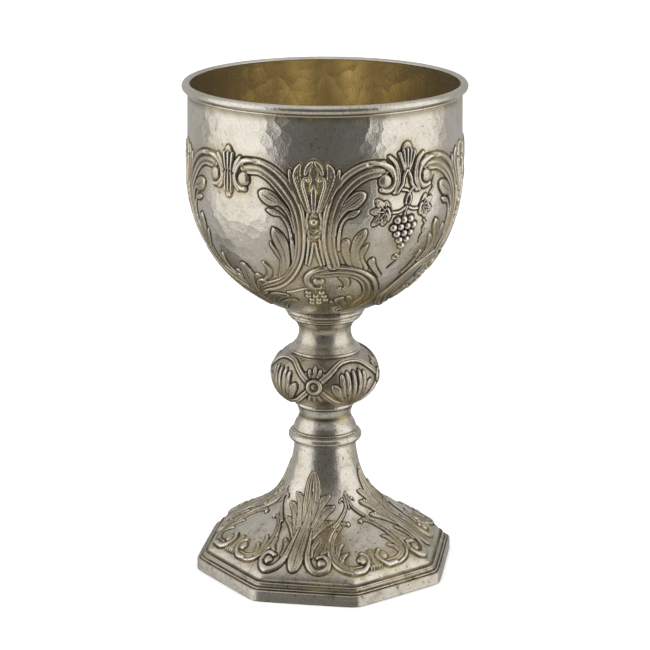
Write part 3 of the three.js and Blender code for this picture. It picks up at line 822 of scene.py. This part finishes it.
LAYERS = ("cavity", "edge", "worked", "gilded")
TURNED_REACH = 0.6
TURNED_CAVITY = 0.12
TURNED_EDGE = 0.3
TURNED_WORKED = 0.2


def raised_patch(surface, sheet, angles, rows, to_x, inset=1e-4):
    """The surface between two angles, raised by a sheet. to_x turns an angle into the sheet's x."""
    angle, v = np.meshgrid(angles, rows)
    kept = np.clip(angle, angles[0] + inset, angles[-1] - inset)

    def raised(a, w):
        return surface.point(a, w, sheet.sample("height", to_x(a), w))

    turn = NORMAL_REACH / surface.reference
    across = raised(kept + turn, v) - raised(kept - turn, v)
    if surface.octagonal:
        low, high = np.maximum(kept - turn, angles[0] + inset), np.minimum(kept + turn, angles[-1] - inset)
        across = (raised(high, v) - raised(low, v)) / (high - low)[..., None]
    along = raised(kept, v + NORMAL_REACH) - raised(kept, v - NORMAL_REACH)
    values = {name: sheet.sample(name, to_x(kept), v) for name in LAYERS}
    return Patch(raised(angle, v), unit(np.cross(across, along)), values)


def turned_grid(radius, angles, z):
    """Points round the axis, from a column or grid of radii and a column of heights."""
    x, y = radius * np.cos(angles), radius * np.sin(angles)
    return np.stack([x, y, np.broadcast_to(z, x.shape)], -1)


def turned_patches(runs, segments, octagonal=False):
    """Smooth runs of a profile, turned round the axis. A crease lies between two runs."""
    whole = np.vstack(runs)
    length = np.r_[0, np.cumsum(np.hypot(*np.diff(whole, axis=0).T))]
    patches = []
    start = 0
    for run in runs:
        step = np.gradient(run, axis=0)
        normal = unit(np.column_stack([step[:, 1], -step[:, 0]]))
        here = length[start:start + len(run)]
        weight = np.exp(-(((here[:, None] - length[None, :]) / TURNED_REACH) ** 2))
        weight *= np.gradient(length)[None, :]
        mean = weight @ whole / weight.sum(1, keepdims=True)
        sunk = ((mean - run) * normal).sum(1)
        start += len(run)
        sides = FOOT_SIDES if octagonal else 1
        for side in range(sides):
            width = 2 * math.pi / sides
            angles = np.linspace(0, width, segments // sides + 1) + (side - 0.5) * width
            facing, spread = angles, np.ones_like(angles)
            if octagonal:
                facing, spread = flat_facing(angles, side * width)
            points = turned_grid(run[:, :1] * spread, angles, run[:, 1:])
            normals = turned_grid(normal[:, :1], facing, normal[:, 1:])
            shape = points.shape[:2]
            marks = {
                "cavity": sunk / TURNED_CAVITY,
                # Convex rolls and beads, which the colour brightens as a painted highlight
                "edge": -sunk / TURNED_EDGE,
                "worked": np.abs(sunk) / TURNED_WORKED,
                "gilded": np.zeros_like(sunk),
            }
            values = {name: np.broadcast_to(np.clip(m, 0, 1)[:, None], shape) for name, m in marks.items()}
            patches.append(Patch(points, normals, values))
    return patches


def make_piece(name, patches, material, nodes):
    """A mesh object from patches, riding on the chalice and standing for its solids."""
    points = np.vstack([p.points.reshape(-1, 3) for p in patches]) * MM
    normals = np.vstack([p.normals.reshape(-1, 3) for p in patches])
    faces = []
    first = 0
    for p in patches:
        rows, columns = p.points.shape[:2]
        index = first + np.arange(rows * columns).reshape(rows, columns)
        quads = np.stack([index[:-1, :-1], index[:-1, 1:], index[1:, 1:], index[1:, :-1]], -1)
        faces.append(quads.reshape(-1, 4))
        first += rows * columns
    mesh = bpy.data.meshes.new(name)
    mesh.from_pydata(points.tolist(), [], np.vstack(faces).tolist())
    mesh.polygons.foreach_set("use_smooth", np.ones(len(mesh.polygons), bool))
    mesh.normals_split_custom_set_from_vertices(unit(normals).tolist())
    for layer in LAYERS:
        data = np.concatenate([np.ravel(p.values[layer]) for p in patches]).astype(np.float32)
        mesh.attributes.new(layer, "FLOAT", "POINT").data.foreach_set("value", data)
    mesh.materials.append(material)
    piece = bpy.data.objects.new(name, mesh)
    bpy.context.scene.collection.objects.link(piece)
    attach(piece, "root")
    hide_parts(*nodes)
    return piece


# Materials

class Nodes:
    """Short calls to build a material's nodes."""

    def __init__(self, tree):
        self.tree = tree

    def feed(self, socket, value):
        """Links a socket to another one, or gives it a plain value."""
        if isinstance(value, bpy.types.NodeSocket):
            self.tree.links.new(value, socket)
        else:
            socket.default_value = value

    def add(self, kind, inputs=None, **settings):
        node = self.tree.nodes.new(kind)
        for key, value in settings.items():
            setattr(node, key, value)
        for key, value in (inputs or {}).items():
            self.feed(node.inputs[key], value)
        return node

    def value(self, layer):
        return self.add("ShaderNodeAttribute", attribute_name=layer).outputs["Fac"]

    def noise(self, place, scale, detail, roughness=0.55):
        inputs = {"Vector": place, "Scale": scale, "Detail": detail, "Roughness": roughness}
        return self.add("ShaderNodeTexNoise", inputs).outputs["Fac"]

    def ramp(self, value, low, high, to_low=0.0, to_high=1.0):
        inputs = {"Value": value, "From Min": low, "From Max": high, "To Min": to_low, "To Max": to_high}
        return self.add("ShaderNodeMapRange", inputs).outputs["Result"]

    def math(self, operation, *values, clamp=False):
        inputs = dict(enumerate(values))
        return self.add("ShaderNodeMath", inputs, operation=operation, use_clamp=clamp).outputs[0]

    def times(self, a, b):
        return self.math("MULTIPLY", a, b, clamp=True)

    def plus(self, a, b):
        return self.math("ADD", a, b, clamp=True)

    def vector(self, operation, inputs):
        return self.add("ShaderNodeVectorMath", inputs, operation=operation).outputs["Vector"]

    def mix(self, factor, a, b):
        node = self.add("ShaderNodeMix", {"Factor": factor}, data_type="RGBA")
        for key, value in (("A", a), ("B", b)):
            socket = next(s for s in node.inputs if s.name == key and s.type == "RGBA")
            self.feed(socket, value if isinstance(value, bpy.types.NodeSocket) else (*value, 1))
        return next(s for s in node.outputs if s.type == "RGBA")

    def bump(self, height, strength, distance, normal=None):
        inputs = {"Height": height, "Strength": strength, "Distance": distance}
        if normal is not None:
            inputs["Normal"] = normal
        return self.add("ShaderNodeBump", inputs).outputs["Normal"]


SILVER = (0.80, 0.76, 0.68)
WARM_SILVER = (0.50, 0.425, 0.30)
DULL_SILVER = (0.38, 0.335, 0.255)
# A painted highlight, laid on raised edges and convex rolls
HIGHLIGHT_SILVER = (0.95, 0.92, 0.85)
BROWN_TARNISH = (0.10, 0.075, 0.042)
OLIVE_TARNISH = (0.30, 0.245, 0.14)
GRIME = (0.045, 0.04, 0.034)
GILT = (0.87, 0.78, 0.56)
TRACE_GILT = (0.78, 0.62, 0.30)
OLD_GILT = (0.68, 0.59, 0.39)

# The patterns on the silver: how many to a metre, their detail and their roughness
SILVER_PATTERNS = {
    "clouds": (45, 5, 0.55),
    "blotches": (190, 6, 0.65),
    "grains": (1500, 3, 0.55),
    "flecks": (700, 2, 0.55),
}
SILVER_DISHES = 250
GILT_DISHES = 150
WANDER_SCALE = 90
WANDER = 0.004


def metal_material(name, metallic=1.0):
    """A metal with its node helper, its shader and the place on the object that its patterns follow."""
    material = bpy.data.materials.new(name)
    material.use_nodes = True
    n = Nodes(material.node_tree)
    shader = material.node_tree.nodes["Principled BSDF"]
    shader.inputs["Metallic"].default_value = metallic
    return material, n, shader, n.add("ShaderNodeTexCoord").outputs["Object"]


def hammer_marks(n, place, scale, strength, distance):
    """Shallow dishes side by side, as a planishing hammer leaves them."""
    wander = n.add("ShaderNodeTexNoise", {"Vector": place, "Scale": WANDER_SCALE}).outputs["Color"]
    moved = n.vector("ADD", {0: place, 1: n.vector("SCALE", {0: wander, "Scale": WANDER})})
    cells = {"Vector": moved, "Scale": scale}
    dishes = n.add("ShaderNodeTexVoronoi", cells, feature="F1").outputs["Distance"]
    return n.bump(n.times(dishes, dishes), strength, distance)


def silver_colour(n, marks, tarnish, grime, dull):
    """Warm in clouds and on the ornament, dirty or gilt in its recesses, with a painted highlight on its
    edges, and spotted.
    """
    cavity, clouds, blotches = marks["cavity"], marks["clouds"], marks["blotches"]
    warm = n.plus(n.ramp(clouds, 0.42, 0.7, 0, 0.35), n.ramp(blotches, 0.48, 0.72, 0, tarnish))
    warm = n.plus(warm, n.ramp(marks["worked"], 0.2, 1, 0, 0.55))
    warm = n.plus(warm, n.ramp(marks["grains"], 0.45, 0.65, 0, 0.3))
    colour = n.mix(dull, n.mix(warm, SILVER, WARM_SILVER), DULL_SILVER)
    colour = n.mix(n.ramp(cavity, 0.04, 0.28, 0, 0.8), colour, OLIVE_TARNISH)
    dirt = n.times(n.ramp(cavity, 0.15, 0.42), n.ramp(blotches, 0.2, 0.6, 0.8, 1))
    colour = n.mix(dirt, colour, BROWN_TARNISH)
    gold = n.times(n.times(marks["gilded"], n.ramp(cavity, 0.02, 0.16)), n.ramp(blotches, 0.3, 0.6, 0, 0.7))
    stray_gold = n.times(n.ramp(cavity, 0.04, 0.2), n.ramp(clouds, 0.5, 0.62, 0, 0.4))
    colour = n.mix(n.plus(gold, stray_gold), colour, TRACE_GILT)
    # Painted highlight: the raised edges are brightened towards pale silver
    colour = n.mix(n.ramp(marks["edge"], 0.3, 0.9, 0, 0.8), colour, HIGHLIGHT_SILVER)
    specks = n.times(n.ramp(marks["flecks"], 0.63, 0.7), n.ramp(clouds, 0.4, 0.62, 0.2, 1))
    stains = n.times(n.ramp(blotches, 0.54, 0.66), dull)
    return n.mix(n.times(n.plus(specks, stains), 2 * grime), colour, GRIME)


def silver_roughness(n, marks, dull):
    """Polished between the blotches, matt in the recesses."""
    worn = n.ramp(marks["blotches"], 0.35, 0.7, 0.15 + dull / 3, 0.29 + dull / 3)
    return n.plus(worn, n.ramp(marks["cavity"], 0, 0.6, 0, 0.25))


def silver_normal(n, marks, place, hammered):
    """Hammer marks where there is no ornament, and fine wear all over."""
    plain = n.ramp(marks["worked"], 0.02, 0.5, hammered, 0.05 * hammered)
    normal = hammer_marks(n, place, SILVER_DISHES, plain, 0.0008)
    normal = n.bump(marks["blotches"], 0.12, 0.0008, normal)
    normal = n.bump(marks["flecks"], 0.2, 0.0003, normal)
    return n.bump(marks["grains"], 0.28, 0.00015, normal)


def silver(name, hammered, tarnish, grime, dull=0.0):
    """Worn silver. Tarnish warms it, grime spots it, and dull darkens it and takes its shine."""
    material, n, shader, place = metal_material(name)
    marks = {layer: n.value(layer) for layer in LAYERS}
    marks |= {pattern: n.noise(place, *shape) for pattern, shape in SILVER_PATTERNS.items()}
    n.feed(shader.inputs["Base Color"], silver_colour(n, marks, tarnish, grime, dull))
    n.feed(shader.inputs["Roughness"], silver_roughness(n, marks, dull))
    n.feed(shader.inputs["Normal"], silver_normal(n, marks, place, hammered))
    return material


def gilt_inside():
    """Old gilding, a little matt, with darker clouds and fine specks."""
    material, n, shader, place = metal_material("gilt_inside", metallic=0.96)
    clouds = n.noise(place, 60, 6, 0.65)
    grains = n.noise(place, 1200, 3)
    colour = n.mix(n.ramp(clouds, 0.4, 0.68), GILT, OLD_GILT)
    colour = n.mix(n.ramp(grains, 0.64, 0.75, 0, 0.4), colour, BROWN_TARNISH)
    n.feed(shader.inputs["Base Color"], colour)
    n.feed(shader.inputs["Roughness"], n.ramp(clouds, 0.3, 0.7, 0.12, 0.24))
    normal = hammer_marks(n, place, GILT_DISHES, 0.12, 0.0012)
    n.feed(shader.inputs["Normal"], n.bump(grains, 0.12, 0.00015, normal))
    return material


# Pieces

def bowl_ellipse(radius, depth, start_radius, count=90):
    a = np.linspace(math.asin(start_radius / radius), math.pi / 2, count)
    return np.column_stack([radius * np.sin(a), BOWL_EQUATOR_Z - depth * np.cos(a)])


def make_bowl_panels(metal):
    seat = BOWL_RADIUS * math.sqrt(1 - ((BOWL_EQUATOR_Z - BOWL_SEAT_Z) / BOWL_DEPTH) ** 2)
    ellipse = bowl_ellipse(BOWL_RADIUS, BOWL_DEPTH, seat)
    surface = Turned(np.vstack([ellipse, [(BOWL_TOP_RADIUS, WALL_TOP_Z)]]), BOWL_RADIUS, BOWL_EQUATOR_Z)
    rows = surface.rows(BOWL_PITCH)
    strut = math.radians(FIRST_STRUT_DEG)
    count = len(PANEL_SPANS)
    for i, span_deg in enumerate(PANEL_SPANS):
        span = math.radians(span_deg)
        angles = np.linspace(strut, strut + span, int(span * BOWL_RADIUS / BOWL_PITCH) + 1)
        sheet = bowl_sheet(*(j % count in GRAPE_PANELS for j in (i, i - 1, i + 1)))

        def to_x(angle, strut=strut, span=span):
            return (angle - strut) / span * PANEL_WIDTH

        patch = raised_patch(surface, sheet, angles, rows, to_x, inset=0)
        make_piece(f"bowl_panel_{i + 1}", [patch], metal, ["bowl"])
        strut += span


def make_bowl_lip(metal):
    reed = arc(BOWL_TOP_RADIUS, REED_Z, REED_ROLL, -80, 80)
    roll = arc(BOWL_RADIUS, LIP_Z, LIP_ROLL, -85, 150, 30)
    make_piece("bowl_lip", turned_patches([reed, roll], 256), metal, ["bowl"])


def make_bowl_inside():
    inner = BOWL_RADIUS - BOWL_WALL
    wall = [(inner - 0.15, LIP_Z + 0.6), (inner, 190), (inner, 178)]
    floor = bowl_ellipse(inner, BOWL_INNER_DEPTH, 0.05, 70)[::-1]
    inside = turned_patches([np.vstack([resample(spline(wall), 30), floor])], 192)
    make_piece("bowl_inside", inside, gilt_inside(), ["bowl"])


def make_bowl():
    metal = silver("bowl_silver", hammered=0.24, tarnish=0.3, grime=0.25)
    make_bowl_panels(metal)
    make_bowl_lip(metal)
    make_bowl_inside()


def make_collar(metal):
    lip_radius = COLLAR_LIP_RADIUS - COLLAR_LIP_ROLL
    waist_bottom = (COLLAR_LIP_RADIUS - 0.2, KNOP_TOP_Z + 1.5)
    runs = [
        np.array([(0.1, KNOP_TOP_Z), (lip_radius, KNOP_TOP_Z)]),
        arc(lip_radius, KNOP_TOP_Z + COLLAR_LIP_ROLL, COLLAR_LIP_ROLL, -90, 75),
        spline([waist_bottom, (11.5, 94.7), (NECK_RADIUS, COLLAR_WAIST_Z), (11.2, 101.4), (13, 103.8)]),
        arc(13.6, 104.9, 0.7, -70, 85),
        arc(14.5, 106.1, 0.75, -75, 85),
        arc(COLLAR_TOP_RADIUS - COLLAR_TOP_ROLL, BOWL_SEAT_Z - COLLAR_TOP_ROLL, COLLAR_TOP_ROLL, -80, 90),
    ]
    make_piece("collar", turned_patches(runs, 160), metal, ["stem_collar"])


def make_spool(metal):
    bead_roll = (KNOP_BOTTOM_Z - SPOOL_BEAD_Z) / 2
    runs = [
        arc(RING_RADIUS - RING_ROLL - 0.3, FOOT_TOP_Z + 0.5, 0.5, -90, 60),
        arc(RING_RADIUS - RING_ROLL, FOOT_TOP_Z + RING_ROLL + 0.9, RING_ROLL, -70, 80, 24),
        arc(12.8, 56.8, 0.45, -75, 80),
        spline([(12.9, 57.2), (12.3, 59.4), (NECK_RADIUS, SPOOL_WAIST_Z), (10.9, 65.4), (11.4, 67)]),
        arc(SPOOL_TOP_RADIUS - bead_roll, SPOOL_BEAD_Z + bead_roll, bead_roll, -75, 90),
    ]
    make_piece("spool", turned_patches(runs, 160), metal, ["stem_spool"])


def make_stem():
    metal = silver("stem_silver", hammered=0.16, tarnish=0.7, grime=0.5, dull=0.1)
    make_collar(metal)
    make_spool(metal)


def make_knop():
    metal = silver("knop_silver", hammered=0.1, tarnish=0.95, grime=0.5, dull=0.4)
    z = KNOP_MIDDLE_Z - (KNOP_MIDDLE_Z - KNOP_BOTTOM_Z) * np.cos(np.linspace(0, math.pi, 200))
    z = z[z <= KNOP_TOP_Z]
    swell = np.sqrt(np.clip(1 - ((z - KNOP_MIDDLE_Z) / KNOP_HALF_HEIGHT) ** 2, 0, 1))
    outline = np.column_stack([KNOP_CORE_RADIUS + KNOP_SWELL * swell, z])
    surface = Turned(outline, KNOP_REFERENCE, KNOP_MIDDLE_Z)
    sheet = knop_sheet()
    rows = surface.rows(KNOP_PITCH)
    half = math.pi / KNOP_REPEATS
    patches = []
    for i in range(KNOP_REPEATS):
        boss = math.radians(-90 + KNOP_MOTIF_TURN_DEG + 360 * i / KNOP_REPEATS)
        angles = np.linspace(boss - half, boss + half, 100)

        def to_x(angle, boss=boss):
            return (angle - boss) * KNOP_REFERENCE

        patches.append(raised_patch(surface, sheet, angles, rows, to_x, inset=0))
    shoulder = np.array([outline[-1], (COLLAR_LIP_RADIUS - 1, KNOP_TOP_Z + 0.05)])
    patches += turned_patches([shoulder], 96)
    make_piece("knop_body", patches, metal, ["knop"])


def foot_profile():
    """The outside of the foot along the middle of a flat, from the moulded edge up to the neck."""
    middle = (26.6, 22.4)
    skirt = bezier(FIELD_BOTTOM, (42.5, 14.8), (34.5, 17), middle)
    flare = bezier(middle, (18.2, 28.6), (13.4, 39), (FOOT_NECK_RADIUS, FOOT_TOP_Z))
    return np.vstack([skirt, flare[1:]])


def make_foot_fields(metal, profile):
    surface = Turned(profile, FOOT_REFERENCE, FIELD_BOTTOM[1], octagonal=True)
    sheet = foot_sheet()
    rows = surface.rows(MESH_PITCH)
    leaf = math.radians(-90 + FOOT_MOTIF_TURN_DEG)

    def to_x(angle):
        turn = (angle - leaf + math.pi / 4) % (math.pi / 2) - math.pi / 4
        return turn * FOOT_REFERENCE

    half = math.pi / FOOT_SIDES
    flats = []
    for side in range(FOOT_SIDES):
        angles = np.linspace(2 * side * half - half, 2 * side * half + half, 78)
        flats.append(raised_patch(surface, sheet, angles, rows, to_x))
    for i in (0, 4):
        make_piece(f"foot_field_{i // 4 + 1}", flats[i:i + 4], metal, ["foot"])


def make_foot_edge():
    metal = silver("foot_edge_silver", hammered=0.12, tarnish=0.6, grime=0.6, dull=0.3)
    flat = FOOT_FLATS / 2
    runs = [
        np.array([(flat - FOOT_RIM, 0), (flat - 0.3, 0)]),
        np.array([(flat, 0.3), (flat, 4)]),
        arc(flat - 0.6, 4, 0.6, 0, 90, 8),
        np.array([(flat - 0.6, 4.6), (flat - 1.4, 4.65)]),
        arc(flat - 1.6, 4.95, 0.35, -40, 110, 8),
        spline([(flat - 1.9, 5.25), (flat - 2.2, 5.6), (flat - 2.5, 6.1), (flat - 2.6, 6.4)]),
        arc(flat - 3, 6.7, 0.4, -60, 110, 8),
        np.array([(flat - 3.3, 7.05), (flat - 4.1, 7.4), FIELD_BOTTOM]),
    ]
    make_piece("foot_edge", turned_patches(runs, 8 * 40, octagonal=True), metal, ["foot"])


def make_foot_underside(metal, profile):
    rim = FOOT_FLATS / 2 - FOOT_RIM
    runs = [
        np.array([(0.1, 39), (13.3, 39)]),
        np.vstack([profile[::-1][20:] - (FOOT_WALL, 0.6), [(rim, 3), (rim, 0)]]),
    ]
    make_piece("foot_underside", turned_patches(runs, 8 * 16, octagonal=True), metal, ["foot"])


def make_foot():
    metal = silver("foot_silver", hammered=0.12, tarnish=0.6, grime=0.5, dull=0.08)
    profile = foot_profile()
    make_foot_fields(metal, profile)
    make_foot_edge()
    make_foot_underside(metal, profile)


# Stage, in metres

FLOOR_RADIUS = 6
FLOOR_COLOUR = (0.93, 0.93, 0.92)
TOP_LIGHT_Z = 2.2
TOP_LIGHT_SIZE = 3.5
TOP_LIGHT_POWER = 75

# The studio that the metal reflects: each stop is a share of the way round from the camera, and a level
STUDIO_STOPS = ((0.0, 0.13), (0.22, 0.15), (0.28, 1.12), (0.56, 1.12), (0.64, 0.48), (1.0, 0.45))
CEILING = (0.66, 0.66, 0.66)
NEAR_TABLE = (0.56, 0.55, 0.53)
FAR_TABLE = (0.14, 0.13, 0.12)


def make_floor():
    bpy.ops.mesh.primitive_circle_add(vertices=128, radius=FLOOR_RADIUS, fill_type="NGON")
    floor = bpy.context.object
    floor.name = "floor"
    material = bpy.data.materials.new("pale_floor")
    material.use_nodes = True
    shader = material.node_tree.nodes["Principled BSDF"]
    shader.inputs["Base Color"].default_value = (*FLOOR_COLOUR, 1)
    shader.inputs["Roughness"].default_value = 0.9
    floor.data.materials.append(material)
    floor.visible_glossy = False


def make_light():
    light = bpy.data.lights.new("top_light", "AREA")
    light.shape = "DISK"
    light.size = TOP_LIGHT_SIZE
    light.energy = TOP_LIGHT_POWER
    lamp = bpy.data.objects.new("top_light", light)
    lamp.location = (0, 0, TOP_LIGHT_Z)
    lamp.visible_glossy = False
    bpy.context.scene.collection.objects.link(lamp)


def make_world():
    """A studio: dark towards the camera, a soft panel on each side, pale below, dim above."""
    world = bpy.data.worlds.new("studio")
    world.use_nodes = True
    bpy.context.scene.world = world
    n = Nodes(world.node_tree)
    direction = n.add("ShaderNodeTexCoord").outputs["Generated"]
    turned = n.add(
        "ShaderNodeVectorRotate",
        {"Vector": direction, "Angle": math.radians(-CAMERA_TURN_DEG)},
        rotation_type="Z_AXIS",
    ).outputs["Vector"]
    x, y, z = n.add("ShaderNodeSeparateXYZ", {"Vector": turned}).outputs
    ahead = n.math("MULTIPLY", y, -1.0)
    azimuth = n.math("ARCTAN2", n.math("ABSOLUTE", x), ahead)
    panels = n.add("ShaderNodeValToRGB", {"Fac": n.ramp(azimuth, 0, math.pi)})
    stops = panels.color_ramp.elements
    while len(stops) < len(STUDIO_STOPS):
        stops.new(0.5)
    for stop, (position, level) in zip(stops, STUDIO_STOPS):
        stop.position = position
        stop.color = (level, level, level, 1)
    light = n.mix(n.ramp(z, 0.45, 0.9), panels.outputs["Color"], CEILING)
    table = n.mix(n.ramp(ahead, -0.5, -0.15), FAR_TABLE, NEAR_TABLE)
    light = n.mix(n.ramp(z, -0.44, -0.6), light, table)
    n.feed(world.node_tree.nodes["Background"].inputs["Color"], light)


def make_camera():
    camera = bpy.data.objects.new("camera", bpy.data.cameras.new("camera"))
    turn = math.radians(CAMERA_TURN_DEG)
    camera.location = (
        CAMERA_DISTANCE * math.sin(turn) * MM,
        -CAMERA_DISTANCE * math.cos(turn) * MM,
        CAMERA_HEIGHT * MM,
    )
    camera.rotation_euler = (math.radians(90 - CAMERA_PITCH_DEG), 0, turn)
    camera.data.sensor_width = SENSOR_MM
    camera.data.lens = FOCAL_PIXELS * SENSOR_MM / PHOTO_PIXELS
    bpy.context.scene.collection.objects.link(camera)
    bpy.context.scene.camera = camera


make_bowl()
make_stem()
make_knop()
make_foot()
make_floor()
make_light()
make_world()
make_camera()
bpy.context.scene.view_settings.view_transform = "Standard"
